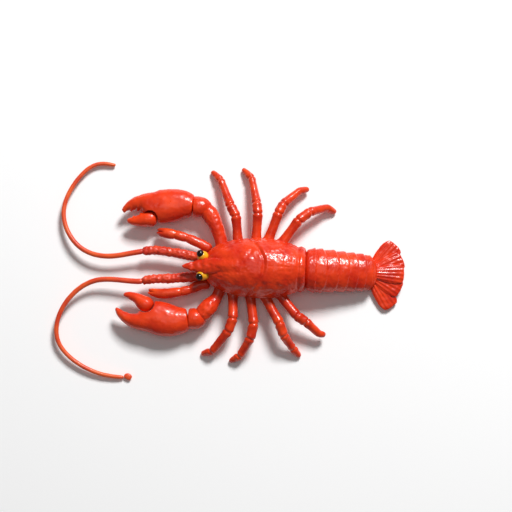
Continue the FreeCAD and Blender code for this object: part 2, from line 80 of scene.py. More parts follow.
def lofted(stations, sides=12, along=None):
    """Closed skin through ovals; a station is (x, y, z, half-width, half-depth)."""
    centres = [Vector(station[:3]) for station in stations]
    rings = []
    for number, (centre, station) in enumerate(zip(centres, stations)):
        before = centres[max(number - 1, 0)]
        after = centres[min(number + 1, len(centres) - 1)]
        rings.append(oval(centre, along or after - before, station[3], station[4]))
    bm = bmesh.new()
    verts = bmesh.ops.create_circle(bm, cap_ends=False, segments=sides, radius=1)["verts"]
    bmesh.ops.transform(bm, matrix=rings[0], verts=verts)
    edges = list(bm.edges)
    for before, after in zip(rings, rings[1:]):
        grown = bmesh.ops.extrude_edge_only(bm, edges=edges)["geom"]
        verts = [item for item in grown if isinstance(item, bmesh.types.BMVert)]
        fresh = set(verts)
        edges = [item for item in grown if isinstance(item, bmesh.types.BMEdge)
                 and item.verts[0] in fresh and item.verts[1] in fresh]
        bmesh.ops.transform(bm, matrix=after @ before.inverted(), verts=verts)
    bmesh.ops.holes_fill(bm, edges=[edge for edge in bm.edges if edge.is_boundary], sides=0)
    bmesh.ops.recalc_face_normals(bm, faces=list(bm.faces))
    return bm


def from_object(obj):
    """Mesh of an object with its modifiers applied, as a new bmesh; the object goes."""
    bpy.context.view_layer.update()
    graph = bpy.context.evaluated_depsgraph_get()
    mesh = bpy.data.meshes.new_from_object(obj.evaluated_get(graph))
    result = bmesh.new()
    result.from_mesh(mesh)
    bpy.data.meshes.remove(mesh)
    bpy.data.objects.remove(obj)
    return result


def as_object(bm, name):
    mesh = bpy.data.meshes.new(name)
    bm.to_mesh(mesh)
    bm.free()
    obj = bpy.data.objects.new(name, mesh)
    bpy.context.scene.collection.objects.link(obj)
    return obj


def rounded(bm, levels):
    """The cage bm as a smooth, denser skin."""
    obj = as_object(bm, "cage")
    surface = obj.modifiers.new("round", "SUBSURF")
    surface.levels = levels
    surface.render_levels = levels
    return from_object(obj)


def carved(bm, cutter):
    """bm with the shape of another closed mesh taken out of it."""
    obj = as_object(bm, "carved")
    tool = as_object(cutter, "cutter")
    boolean = obj.modifiers.new("carve", "BOOLEAN")
    boolean.operation = "DIFFERENCE"
    boolean.solver = "EXACT"
    boolean.object = tool
    result = from_object(obj)
    bpy.data.objects.remove(tool)
    return result


def push(bm, depth):
    """Move every vertex along its normal by depth(place, normal), in millimetres."""
    bm.normal_update()
    moves = [(vert, vert.normal * depth(vert.co, vert.normal)) for vert in bm.verts]
    for vert, move in moves:
        vert.co += move


def shift(bm, step):
    """Move every vertex by the vector step(place)."""
    moves = [(vert, step(vert.co)) for vert in bm.verts]
    for vert, move in moves:
        vert.co += move


def finish_piece(bm, name, body, material, nodes=()):
    """Scale to metres, shade smooth, and hand the piece to its body."""
    bmesh.ops.remove_doubles(bm, verts=list(bm.verts), dist=0.0005)
    bmesh.ops.recalc_face_normals(bm, faces=list(bm.faces))
    bmesh.ops.scale(bm, vec=(MM, MM, MM), verts=list(bm.verts))
    for face in bm.faces:
        face.smooth = True
    obj = as_object(bm, name)
    obj.data.materials.append(material)
    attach(obj, body)
    if nodes:
        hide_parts(*nodes)
    return obj


def bump(value, centre, width):
    """Smooth hump of height one about a centre."""
    return math.exp(-((value - centre) / width) ** 2)


def wrinkle(place, size, octaves=3):
    """Irregular relief of moulded shell, about -1 to 1; size is the wavelength in millimetres."""
    return noise.fractal(place / size, 0.9, 2.1, octaves)


# ---- materials --------------------------------------------------------------------------------
def socket(group, name, kind, way, value=None):
    item = group.interface.new_socket(name, in_out=way, socket_type=kind)
    if value is not None:
        item.default_value = value
    return item


def moulded_effect():
    """Cloudy tint and fine dimples of soft moulded plastic, worked out once for every material."""
    group = bpy.data.node_groups.new("moulded_plastic", "ShaderNodeTree")
    socket(group, "Deep colour", "NodeSocketColor", "INPUT")
    socket(group, "Bright colour", "NodeSocketColor", "INPUT")
    socket(group, "Thin colour", "NodeSocketColor", "INPUT")
    socket(group, "Thin from", "NodeSocketFloat", "INPUT", 1.0)
    socket(group, "Thin to", "NodeSocketFloat", "INPUT", 2.0)
    socket(group, "Cloud scale", "NodeSocketFloat", "INPUT", 120.0)
    socket(group, "Dimple scale", "NodeSocketFloat", "INPUT", 900.0)
    socket(group, "Sheen low", "NodeSocketFloat", "INPUT", 0.2)
    socket(group, "Sheen high", "NodeSocketFloat", "INPUT", 0.36)
    socket(group, "Colour", "NodeSocketColor", "OUTPUT")
    socket(group, "Roughness", "NodeSocketFloat", "OUTPUT")
    socket(group, "Height", "NodeSocketFloat", "OUTPUT")
    nodes, links = group.nodes, group.links
    given = nodes.new("NodeGroupInput")
    put = nodes.new("NodeGroupOutput")
    place = nodes.new("ShaderNodeTexCoord")
    clouds = nodes.new("ShaderNodeTexNoise")
    clouds.inputs["Detail"].default_value = 4
    dimples = nodes.new("ShaderNodeTexNoise")
    dimples.inputs["Detail"].default_value = 3
    pits = nodes.new("ShaderNodeTexVoronoi")
    spread = nodes.new("ShaderNodeMapRange")
    spread.inputs["From Min"].default_value = 0.32
    spread.inputs["From Max"].default_value = 0.68
    tint = nodes.new("ShaderNodeMix")
    tint.data_type = "RGBA"
    gloss = nodes.new("ShaderNodeMapRange")
    relief = nodes.new("ShaderNodeMath")
    relief.operation = "MULTIPLY_ADD"
    relief.inputs[1].default_value = 0.35
    for texture, scale in ((clouds, "Cloud scale"), (dimples, "Dimple scale"), (pits, "Dimple scale")):
        links.new(place.outputs["Object"], texture.inputs["Vector"])
        links.new(given.outputs[scale], texture.inputs["Scale"])
    links.new(clouds.outputs["Fac"], spread.inputs["Value"])
    links.new(spread.outputs["Result"], tint.inputs["Factor"])
    links.new(given.outputs["Deep colour"], tint.inputs["A"])
    links.new(given.outputs["Bright colour"], tint.inputs["B"])
    reach = nodes.new("ShaderNodeVectorMath")
    reach.operation = "LENGTH"
    thinness = nodes.new("ShaderNodeMapRange")
    patch = nodes.new("ShaderNodeMath")
    patch.operation = "MULTIPLY"
    ends = nodes.new("ShaderNodeMix")
    ends.data_type = "RGBA"
    links.new(place.outputs["Object"], reach.inputs[0])
    links.new(reach.outputs["Value"], thinness.inputs["Value"])
    links.new(given.outputs["Thin from"], thinness.inputs["From Min"])
    links.new(given.outputs["Thin to"], thinness.inputs["From Max"])
    links.new(thinness.outputs["Result"], patch.inputs[0])
    links.new(spread.outputs["Result"], patch.inputs[1])
    links.new(patch.outputs["Value"], ends.inputs["Factor"])
    links.new(tint.outputs["Result"], ends.inputs["A"])
    links.new(given.outputs["Thin colour"], ends.inputs["B"])
    links.new(ends.outputs["Result"], put.inputs["Colour"])
    links.new(dimples.outputs["Fac"], gloss.inputs["Value"])
    links.new(given.outputs["Sheen low"], gloss.inputs["To Min"])
    links.new(given.outputs["Sheen high"], gloss.inputs["To Max"])
    links.new(gloss.outputs["Result"], put.inputs["Roughness"])
    links.new(pits.outputs["Distance"], relief.inputs[0])
    links.new(dimples.outputs["Fac"], relief.inputs[2])
    links.new(relief.outputs["Value"], put.inputs["Height"])
    return group


MOULDED = moulded_effect()


THIN_ORANGE = (0.78, 0.11, 0.018)


def plastic(name, deep, bright, cloud_scale, dimple_scale, dimple_depth, sheen=(0.22, 0.38), coat=0.15,
            thin=(1.0, 2.0)):
    """Glossy plastic in two close tints with fine dimples, more orange where the thin ends let light in."""
    material = bpy.data.materials.new(name)
    material.use_nodes = True
    nodes, links = material.node_tree.nodes, material.node_tree.links
    shader = nodes["Principled BSDF"]
    effect = nodes.new("ShaderNodeGroup")
    effect.node_tree = MOULDED
    effect.inputs["Deep colour"].default_value = (*deep, 1)
    effect.inputs["Bright colour"].default_value = (*bright, 1)
    effect.inputs["Thin colour"].default_value = (*THIN_ORANGE, 1)
    effect.inputs["Thin from"].default_value = thin[0]
    effect.inputs["Thin to"].default_value = thin[1]
    effect.inputs["Cloud scale"].default_value = cloud_scale
    effect.inputs["Dimple scale"].default_value = dimple_scale
    effect.inputs["Sheen low"].default_value = sheen[0]
    effect.inputs["Sheen high"].default_value = sheen[1]
    dimple = nodes.new("ShaderNodeBump")
    dimple.inputs["Distance"].default_value = dimple_depth
    dimple.inputs["Strength"].default_value = 1.0
    links.new(effect.outputs["Colour"], shader.inputs["Base Color"])
    links.new(effect.outputs["Roughness"], shader.inputs["Roughness"])
    links.new(effect.outputs["Height"], dimple.inputs["Height"])
    links.new(dimple.outputs["Normal"], shader.inputs["Normal"])
    shader.inputs["Coat Weight"].default_value = coat
    shader.inputs["Coat Roughness"].default_value = 0.08
    shader.inputs["IOR"].default_value = 1.42
    return material


RED_DEEP = (0.56, 0.016, 0.003)
RED_BRIGHT = (0.82, 0.052, 0.007)
SHELL_RED = plastic("shell_red", RED_DEEP, RED_BRIGHT, 160, 800, 0.00003)
LIMB_RED = plastic("limb_red", (0.52, 0.017, 0.003), (0.80, 0.056, 0.008), 220, 900, 0.00003,
                   thin=(0.030, 0.056))
CLAW_RED = plastic("claw_red", (0.58, 0.018, 0.003), (0.84, 0.054, 0.007), 150, 700, 0.00003,
                   thin=(0.048, 0.072))
ANTENNA_RED = plastic("antenna_red", (0.58, 0.026, 0.010), (0.78, 0.070, 0.022), 150, 1300, 0.00003,
                      sheen=(0.3, 0.5), coat=0.1, thin=(0.040, 0.062))
EYE_YELLOW = plastic("eye_yellow", (0.80, 0.30, 0.008), (0.92, 0.50, 0.012), 500, 2000, 0.00001,
                     sheen=(0.1, 0.18), coat=0.6)
PUPIL_BLACK = plastic("pupil_black", (0.002, 0.002, 0.002), (0.006, 0.005, 0.004), 500, 2500, 0.00001,
                      sheen=(0.10, 0.16), coat=0.2)

# ---- shell ------------------------------------------------------------------------------------
shell_low, shell_high = corners("belly_shell")
PARTING = corners("carapace")[0].z
REAR = shell_high.x
HALF_SHELL = shell_high.y
# Along X, then half-width and rise over the parting line.
SHELL_LINE = [
    (shell_low.x - 0.2, 2.6, 2.0), (shell_low.x + 0.8, 4.3, 3.2), (-17.8, 6.4, 5.2), (-15.4, 7.9, 6.4),
    (-12.2, 9.1, 7.6), (-8.5, 9.9, 8.5), (-3.0, HALF_SHELL, 9.0), (2.5, HALF_SHELL, 9.0), (6.5, 9.9, 8.7),
    (10.0, 8.9, 8.1), (12.8, 7.8, 7.4), (15.0, 7.5, 7.0), (REAR - 0.1, 7.0, 6.5),
]


def crest(x):
    """Where the raised middle ridge runs: strong at the rostrum, gone behind the neck groove."""
    return 1 / (1 + math.exp((x + 12.5) / 2.2))


def neck_groove(place):
    """The curved groove that crosses the back and runs forwards down each flank."""
    return bump(place.x, 0.6 - 0.05 * place.y ** 2, 0.55)


def shell_relief(place, normal):
    top = max(normal.z, 0)
    relief = 0.17 * wrinkle(place, 2.5) + 0.05 * wrinkle(place + Vector((7, 3, 1)), 1.0, 2)
    relief -= 0.34 * neck_groove(place)
    relief += 0.30 * bump(place.x, 1.9 - 0.05 * place.y ** 2, 1.1) * top
    relief += 0.85 * crest(place.x) * bump(place.y, 0, 1.3) * top
    relief -= 0.24 * crest(place.x) * bump(abs(place.y), 2.5, 0.8) * top
    relief -= 0.07 * bump(place.y, 0, 0.35) * top * (1 if place.x > 2 else 0)
    relief += 0.22 * bump(place.x, REAR - 1.6, 0.8) - 0.30 * bump(place.x, REAR - 2.9, 0.5)
    relief += 0.30 * bump(place.z, PARTING + 0.5, 0.35)
    return relief


def cut_at_parting(bm, **cleared):
    """Cut a shell form level at the line where its halves meet, and close it there."""
    geometry = list(bm.verts) + list(bm.edges) + list(bm.faces)
    bmesh.ops.bisect_plane(bm, geom=geometry, plane_co=(0, 0, PARTING), plane_no=(0, 0, 1), **cleared)
    bmesh.ops.holes_fill(bm, edges=[edge for edge in bm.edges if edge.is_boundary], sides=0)


def make_carapace():
    bm = rounded(lofted([(x, 0, PARTING, wide * 1.02, rise * 1.03) for x, wide, rise in SHELL_LINE],
                        sides=20, along=FORWARDS), FINE)
    push(bm, shell_relief)
    cut_at_parting(bm, clear_inner=True)
    return finish_piece(bm, "carapace_skin", "shell", SHELL_RED, ["carapace"])


def make_rostrum():
    """Pointed beak over the head, with small side teeth and a wavy crest."""
    tip = corners("carapace")[0].x
    stations = [(-8.0, 0, 14.9, 1.0, 0.9), (-11.5, 0, 14.0, 1.9, 1.3), (-15.0, 0, 12.9, 2.7, 1.6),
                (-18.0, -0.1, 11.7, 3.2, 1.8), (-21.0, -0.2, 10.9, 2.7, 1.5), (-24.0, -0.3, 10.3, 1.75, 1.1),
                (-26.2, -0.4, 10.4, 1.3, 0.85), (-27.9, -0.4, 10.5, 0.8, 0.55), (tip + 0.05, -0.4, 10.5, 0.2, 0.2)]
    bm = rounded(lofted(stations, sides=12, along=FORWARDS), MEDIUM)

    def relief(place, normal):
        teeth = sum(bump(place.x, at, 0.55) for at in (-25.4, -23.0, -20.4)) * abs(normal.y)
        waves = 0.22 * math.sin(place.x * 2.1) * bump(place.y, 0, 0.7) * max(normal.z, 0)
        return 0.30 * teeth + waves + 0.12 * wrinkle(place, 1.1)

    push(bm, relief)
    return finish_piece(bm, "rostrum", "shell", SHELL_RED)


def make_belly():
    """Lower shell half: a little inside the carapace rim, flat where it rests."""
    line = [(x, 0, PARTING, wide * 0.985, rise) for x, wide, rise in SHELL_LINE]
    bm = rounded(lofted(line, sides=20, along=FORWARDS), MEDIUM)

    def relief(place, normal):
        ribs = 0.16 * math.cos(place.x * math.tau / 4.6) * max(-normal.z, 0)
        return 0.10 * wrinkle(place, 2.2) + ribs * (1 if abs(place.y) < 6 else 0.3)

    push(bm, relief)
    shift(bm, lambda place: Vector((0, 0, max(-place.z, 0))))
    cut_at_parting(bm, clear_outer=True)
    return finish_piece(bm, "belly_skin", "shell", SHELL_RED, ["belly_shell"])


# ---- eyes -------------------------------------------------------------------------------------
def make_eye(side, sign):
    low, high = corners(f"{side}_eye")
    centre = (low + high) / 2
    radius = (high.x - low.x) / 2
    bm = bmesh.new()
    bmesh.ops.create_uvsphere(bm, u_segments=32, v_segments=20, radius=1)
    bmesh.ops.transform(bm, matrix=Matrix.Translation(centre) @ Matrix.Diagonal((radius, radius, radius * 0.96, 1)),
                        verts=list(bm.verts))
    stretch = 0.5 if side == "left" else 0.2
    shift(bm, lambda place: Vector((stretch * max(place.x - centre.x, 0) - 0.25, sign * -0.45, 0)))
    finish_piece(bm, f"{side}_eye_ball", "shell", EYE_YELLOW, [f"{side}_eye"])
    low, high = corners(f"{side}_pupil")
    centre = (low + high) / 2 + Vector((0.55, sign * -0.95, 0.45))
    radius = (high.x - low.x) / 2 * 1.05
    bm = bmesh.new()
    bmesh.ops.create_uvsphere(bm, u_segments=28, v_segments=18, radius=radius)
    bmesh.ops.translate(bm, vec=centre, verts=list(bm.verts))
    finish_piece(bm, f"{side}_pupil_dome", "shell", PUPIL_BLACK, [f"{side}_pupil"])


# ---- walking legs and mouth limbs ---------------------------------------------------------------
# Each leg as knots from its root: along X, outwards, height, thickness. Two creases frame the knee.
LEG_LINE = {
    ("right", 1): [(-8.9, 9.0), (-10.0, 18.6), (-12.1, 22.4), (-16.1, 32.2), (-19.4, 35.5)],
    ("right", 2): [(-2.5, 9.9), (-2.2, 19.8), (-2.7, 23.7), (-4.9, 33.4), (-8.1, 36.8)],
    ("right", 3): [(1.8, 10.0), (5.3, 20.2), (6.9, 23.7), (12.7, 29.1), (16.0, 30.1)],
    ("right", 4): [(6.9, 9.5), (12.6, 17.9), (16.5, 21.1), (23.0, 23.4), (26.1, 22.1)],
    ("left", 1): [(-10.1, 9.1), (-9.8, 18.4), (-11.3, 22.8), (-17.0, 30.2), (-20.6, 31.0)],
    ("left", 2): [(-4.0, 9.2), (-2.3, 20.1), (-3.3, 25.1), (-6.9, 31.4), (-10.3, 33.4)],
    ("left", 3): [(0.7, 8.7), (6.9, 19.5), (8.5, 23.6), (12.0, 28.1), (14.7, 30.8)],
    ("left", 4): [(6.0, 8.2), (13.0, 16.6), (16.3, 18.6), (21.3, 22.6), (23.4, 22.9)],
}
LEG_BULK = 2.05            # half the thickness of a leg near its root
CURVED_ENDS = [("right", 3), ("right", 4), ("left", 4)]     # legs that end in one smooth curve
RAISED_TIPS = {("right", 3): 1.2, ("left", 4): 2.2}


def between(start, end, share):
    return start + (end - start) * share


def knotted(points, knots):
    """Stations along a bent line; a knot is (segment, share along it, half-thickness)."""
    return [(*between(points[segment], points[segment + 1], share), thick, thick)
            for segment, share, thick in knots]


def limb_relief(place, _normal):
    return 0.07 * wrinkle(place, 1.3) + 0.03 * wrinkle(place, 0.5, 2)


def make_leg(side, number):
    sign = SIDES[side]
    lift = RAISED_TIPS.get((side, number), 0)
    heights = [5.4, 7.2, 6.4, 2.9 + lift * 0.5, 0.75 + lift]
    points = [Vector((x, sign * out, z)) for (x, out), z in zip(LEG_LINE[side, number], heights)]
    root = points[0] - (points[1] - points[0]).normalized() * 1.6
    points = [root] + points
    bulk = LEG_BULK
    knots = [
        (0, 0.0, bulk * 1.36), (0, 0.9, bulk * 1.30), (1, 0.10, bulk * 1.06), (1, 0.24, bulk * 0.95),
        (1, 0.60, bulk * 0.90), (1, 0.88, bulk * 0.96), (2, 0.0, bulk * 0.94), (2, 0.50, bulk * 0.96),
        (3, 0.0, bulk * 0.90), (3, 0.16, bulk * 0.86), (3, 0.50, bulk * 0.80), (3, 0.86, bulk * 0.74),
        (4, 0.0, bulk * 0.74), (4, 0.35, bulk * 0.70), (4, 0.75, bulk * 0.60), (4, 0.97, bulk * 0.46),
        (4, 1.03, bulk * 0.26),
    ]
    bm = rounded(lofted(knotted(points, knots), sides=8), MEDIUM)
    creases = [(points[at], (points[at + 1] - points[at - 1]).normalized()) for at in (2, 3, 4)
               if at < 4 or (side, number) not in CURVED_ENDS]

    def relief(place, normal):
        depth = limb_relief(place, normal)
        for centre, run in creases:
            if (place - centre).length < 3:
                along = (place - centre).dot(run)
                depth += 0.13 * bump(abs(along), 1.0, 0.6) - 0.20 * bump(along, 0, 0.30)
        return depth

    push(bm, relief)
    shift(bm, lambda place: Vector((0, 0, max(0.02 - place.z, 0))))
    finish_piece(bm, f"{side}_leg_{number}_skin", "shell", LIMB_RED, [f"{side}_leg_{number}"])


MOUTH_LINE = {
    "right": [(-18.4, 6.2), (-22.6, 8.5), (-27.4, 10.3), (-31.7, 11.4), (-35.3, 11.8), (-38.6, 12.5)],
    "left": [(-18.4, 5.8), (-22.4, 6.6), (-25.6, 8.4), (-28.9, 9.2), (-35.4, 10.4), (-41.0, 9.3)],
}
MOUTH_BULK = 2.0


def make_mouth_limb(side, sign):
    """Small limb in front of the claw arm, ending in a little notched pincer."""
    heights = [4.6, 4.8, 5.0, 5.0, 4.8, 4.4]
    points = [Vector((x, sign * out, z)) for (x, out), z in zip(MOUTH_LINE[side], heights)]
    bulk = MOUTH_BULK
    knots = [
        (0, 0.0, bulk * 1.05), (0, 0.6, bulk * 1.02), (1, 0.0, bulk * 0.98), (1, 0.6, bulk), (1, 0.94, bulk * 0.9),
        (2, 0.0, bulk * 0.78), (2, 0.12, bulk * 0.94), (2, 0.6, bulk), (2, 0.93, bulk * 0.92), (3, 0.0, bulk * 0.8),
        (3, 0.12, bulk * 0.98), (3, 0.7, bulk * 1.04), (4, 0.2, bulk * 0.98), (4, 0.6, bulk * 0.82),
        (4, 0.9, bulk * 0.55), (4, 1.0, bulk * 0.25),
    ]
    bm = rounded(lofted(knotted(points, knots), sides=8), MEDIUM)
    tip = points[-1]
    run = (points[-1] - points[-2]).normalized()
    across = run.cross(Vector((0, 0, 1)))

    def relief(place, normal):
        beyond = (place - tip).dot(run) + 3.2
        notch = 0.75 * bump((place - tip).dot(across), 0, 0.42) if beyond > 0 else 0
        return limb_relief(place, normal) - notch * min(beyond / 2, 1)

    push(bm, relief)
    finish_piece(bm, f"{side}_mouth_limb_skin", "shell", LIMB_RED, [f"{side}_mouth_limb"])


# ---- claw arms and claws ----------------------------------------------------------------------
def mirrored(stations, sign):
    return [(x, sign * out, z, wide, deep) for x, out, z, wide, deep in stations]


ARM_LINE = {
    "right": [(-14.8, 6.6, 5.2, 2.3, 2.3), (-14.8, 8.6, 5.3, 2.4, 2.35), (-15.4, 10.8, 5.6, 2.45, 2.3),
              (-16.4, 13.4, 6.0, 2.55, 2.4), (-17.6, 15.9, 6.1, 2.75, 2.6), (-18.8, 18.2, 6.0, 3.1, 2.8),
              (-20.0, 19.9, 5.7, 3.2, 2.9), (-20.9, 20.8, 5.4, 2.6, 2.4), (-21.4, 21.2, 5.3, 1.6, 1.6)],
    "left": [(-14.8, 6.6, 5.2, 2.3, 2.3), (-15.0, 8.8, 5.2, 2.1, 2.1), (-16.1, 11.2, 5.2, 2.2, 2.1),
             (-17.5, 13.1, 5.7, 2.7, 2.5), (-18.6, 14.3, 6.2, 3.2, 2.9), (-19.9, 16.0, 6.0, 3.35, 3.0),
             (-21.0, 17.3, 5.7, 3.1, 2.8), (-21.7, 17.9, 5.4, 2.4, 2.3), (-22.1, 18.2, 5.3, 1.5, 1.5)],
}
WRIST_LINE = {
    "right": [(-19.9, 20.2, 5.3, 2.3, 2.2), (-20.8, 20.9, 5.3, 3.2, 3.0), (-22.2, 21.6, 5.3, 3.85, 3.6),
              (-23.8, 21.8, 5.3, 3.95, 3.7), (-25.0, 21.85, 5.2, 3.9, 3.6), (-25.82, 21.85, 5.2, 3.7, 3.4)],
    "left": [(-20.4, 17.2, 5.3, 2.3, 2.2), (-21.2, 17.9, 5.3, 3.3, 3.1), (-22.5, 18.6, 5.3, 4.0, 3.7),
             (-24.0, 18.8, 5.3, 4.0, 3.7), (-25.2, 18.92, 5.2, 3.9, 3.6), (-26.02, 18.92, 5.2, 3.7, 3.4)],
}
PALM_LINE = {
    "right": [(-25.6, 21.85, 5.2, 3.7, 3.4), (-26.3, 21.9, 5.2, 4.3, 3.6), (-28.2, 22.5, 5.2, 5.1, 3.8),
              (-31.3, 22.3, 5.2, 5.95, 4.05), (-35.0, 21.7, 5.2, 6.25, 4.1), (-38.6, 21.35, 5.2, 6.2, 3.95),
              (-41.2, 21.7, 5.2, 5.2, 3.7), (-43.4, 22.8, 5.2, 3.5, 3.3), (-45.9, 22.4, 5.2, 2.6, 2.7),
              (-48.3, 21.5, 5.2, 1.9, 2.0), (-50.2, 20.3, 5.2, 1.15, 1.25), (-51.2, 19.3, 5.2, 0.5, 0.6)],
    "left": [(-25.8, 18.92, 5.2, 3.7, 3.4), (-26.5, 19.0, 5.2, 4.3, 3.6), (-28.6, 19.7, 5.2, 5.0, 3.8),
             (-32.0, 19.8, 5.2, 5.9, 4.05), (-36.0, 19.1, 5.2, 6.45, 4.1), (-39.4, 18.7, 5.2, 6.1, 3.95),
             (-41.8, 20.0, 5.2, 4.3, 3.6), (-44.0, 20.5, 5.2, 3.0, 3.2), (-46.5, 20.0, 5.2, 2.4, 2.6),
             (-49.0, 18.9, 5.2, 1.8, 2.0), (-51.0, 17.2, 5.2, 1.15, 1.25), (-52.0, 15.7, 5.2, 0.5, 0.6)],
}
FINGER_LINE = {
    "right": [(-38.4, 16.75, 5.2, 1.0, 1.2), (-38.8, 16.75, 5.2, 1.9, 2.0), (-39.7, 16.75, 5.2, 2.85, 2.7),
              (-41.0, 16.8, 5.2, 3.0, 2.9), (-42.6, 16.6, 5.2, 2.95, 2.8), (-44.2, 16.1, 5.2, 2.4, 2.3),
              (-46.2, 15.8, 5.2, 1.85, 1.9), (-48.0, 15.75, 5.2, 1.3, 1.35), (-49.4, 15.9, 5.2, 0.75, 0.8)],
    "left": [(-38.6, 15.0, 5.2, 1.0, 1.2), (-39.0, 14.8, 5.2, 1.8, 2.0), (-39.9, 14.5, 5.2, 2.55, 2.6),
             (-41.2, 14.2, 5.2, 3.0, 2.9), (-42.7, 13.5, 5.2, 2.85, 2.7), (-44.3, 12.1, 5.2, 1.95, 2.1),
             (-46.3, 11.4, 5.2, 1.6, 1.7), (-48.2, 10.9, 5.2, 1.1, 1.2), (-49.5, 11.0, 5.2, 0.6, 0.7)],
}


MOLARS = {"right": 0.45, "left": 0.10}   # height of the blunt teeth along the bite


SEAT_RADIUS = {"right": 2.95, "left": 3.3}   # round seat in the palm for the moving finger


def claw_relief(place, _normal):
    return 0.10 * wrinkle(place, 2.6) + 0.035 * wrinkle(place, 0.9, 2)


def make_arm(side, sign):
    bm = rounded(lofted(mirrored(ARM_LINE[side], sign), sides=12), MEDIUM)
    grain_start = Vector((-14.8, sign * 9, 5.2))

    def relief(place, _normal):
        rough = 0.22 * wrinkle(place, 1.7) * (1 if place.z > 6 else 0.4)
        return rough * min(max((abs(place.y) - 9) / 3, 0), 1) + 0.05 * wrinkle(place - grain_start, 0.8, 2)

    push(bm, relief)
    finish_piece(bm, f"{side}_arm_skin", f"{side}_arm", CLAW_RED, [f"{side}_arm"])
    bm = rounded(lofted(mirrored(WRIST_LINE[side], sign), sides=12), MEDIUM)
    push(bm, claw_relief)
    finish_piece(bm, f"{side}_wrist_skin", f"{side}_arm", CLAW_RED, [f"{side}_wrist"])


def make_claw(side, sign):
    knuckle = joint_at(f"{side}_finger_close")
    bm = rounded(lofted(mirrored(PALM_LINE[side], sign), sides=16), MEDIUM)

    def relief(place, normal):
        molars = MOLARS[side] * max(math.sin(place.x * 2.6 + 0.6), 0) * max(-sign * normal.y, 0) ** 2
        return claw_relief(place, normal) + (molars if place.x < knuckle.x - 2.4 else 0)

    push(bm, relief)
    hollow = bmesh.new()
    bmesh.ops.create_uvsphere(hollow, u_segments=48, v_segments=32, radius=1)
    bmesh.ops.transform(hollow, matrix=Matrix.Translation(knuckle) @ Matrix.Diagonal((SEAT_RADIUS[side], SEAT_RADIUS[side], 9, 1)),
                        verts=list(hollow.verts))
    bm = carved(bm, hollow)
    finish_piece(bm, f"{side}_claw_skin", f"{side}_claw", CLAW_RED, [f"{side}_claw"])

    bm = rounded(lofted(mirrored(FINGER_LINE[side], sign), sides=12), MEDIUM)

    def finger_relief(place, normal):
        molars = MOLARS[side] * max(math.sin(place.x * 2.4 + 1.2), 0) * max(sign * normal.y, 0) ** 2
        return 0.6 * claw_relief(place, normal) + (molars if place.x < knuckle.x - 2.6 else 0)

    push(bm, finger_relief)
    finish_piece(bm, f"{side}_finger_skin", f"{side}_finger", CLAW_RED, [f"{side}_claw_finger"])


# ---- antennae ---------------------------------------------------------------------------------
STALK_HEIGHT = 5.8
STALK_LINE = {
    "right": [(-19.6, 3.2), (-22.5, 3.2), (-26.0, 3.9), (-30.0, 4.5), (-35.0, 5.2), (-40.5, 5.4), (-43.6, 4.8)],
    "left": [(-19.6, 3.2), (-22.5, 3.2), (-26.0, 3.9), (-30.0, 4.4), (-36.0, 4.8), (-40.2, 5.1), (-43.4, 6.1)],
}
WHIP_LINE = {
    "right": [(-42.6, 4.9, 5.8), (-44.6, 4.6, 5.8), (-49.5, 3.5, 5.5), (-54.8, 2.5, 5.2), (-60.5, 2.9, 4.8),
              (-65.6, 5.0, 4.4), (-69.6, 9.0, 4.0), (-72.3, 14.2, 3.5), (-73.0, 19.6, 3.1), (-71.6, 25.2, 2.7),
              (-68.4, 31.0, 2.3), (-64.2, 35.8, 1.8), (-60.0, 37.4, 1.4), (-55.4, 36.7, 1.1)],
    "left": [(-42.4, 5.9, 5.8), (-44.6, 6.2, 5.8), (-49.5, 5.9, 5.5), (-55.0, 5.5, 5.2), (-60.4, 6.0, 4.8),
             (-65.8, 9.0, 4.4), (-70.2, 14.0, 4.0), (-72.8, 19.4, 3.5), (-73.5, 24.6, 3.1), (-72.4, 29.4, 2.7),
             (-68.6, 33.8, 2.4), (-62.8, 37.6, 2.0), (-56.6, 39.8, 1.6), (-51.8, 40.4, 1.2), (-49.0, 40.5, 1.0)],
}


def make_antenna(side, sign):
    bulk = (corners(f"{side}_antenna_base")[1].z - corners(f"{side}_antenna_base")[0].z) / 2
    line = [(x, sign * out, STALK_HEIGHT, bulk * (1.26 - 0.03 * step), bulk * (1.26 - 0.03 * step))
            for step, (x, out) in enumerate(STALK_LINE[side])]
    bm = rounded(lofted(line, sides=8), FINE)

    def knobs(place, _normal):
        rings = 0.06 * math.sin(place.x * math.tau / 1.7)
        return rings + 0.26 * wrinkle(place, 1.5, 3)

    push(bm, knobs)
    finish_piece(bm, f"{side}_antenna_stalk", f"{side}_antenna", ANTENNA_RED,
                 [f"{side}_antenna_base"])
    count = len(WHIP_LINE[side])
    line = []
    for step, (x, out, z) in enumerate(WHIP_LINE[side]):
        thick = 1.14 - 0.34 * step / (count - 1)
        line.append((x, sign * out, z, thick, thick))
    x, out, z = WHIP_LINE[side][-1]
    line.append((x + 0.6, sign * out, z, 0.45, 0.45))
    bm = rounded(lofted(line, sides=8), MEDIUM)
    push(bm, lambda place, _normal: 0.04 * wrinkle(place, 1.6, 2))
    if side == "left":
        tag = rounded(lofted([(-48.4, -40.4, 0.95, 0.7, 0.5), (-47.4, -39.9, 0.95, 1.3, 0.6),
                              (-46.4, -40.4, 0.95, 1.4, 0.6), (-45.7, -41.0, 0.95, 0.7, 0.4)], sides=8), COARSE)
        mesh = bpy.data.meshes.new("tag")
        tag.to_mesh(mesh)
        tag.free()
        bm.from_mesh(mesh)
        bpy.data.meshes.remove(mesh)
    finish_piece(bm, f"{side}_antenna_whip_skin", f"{side}_antenna", ANTENNA_RED,
                 [f"{side}_antenna_whip"])


# ---- tail -------------------------------------------------------------------------------------
TAIL_FRONT = REAR + 0.35
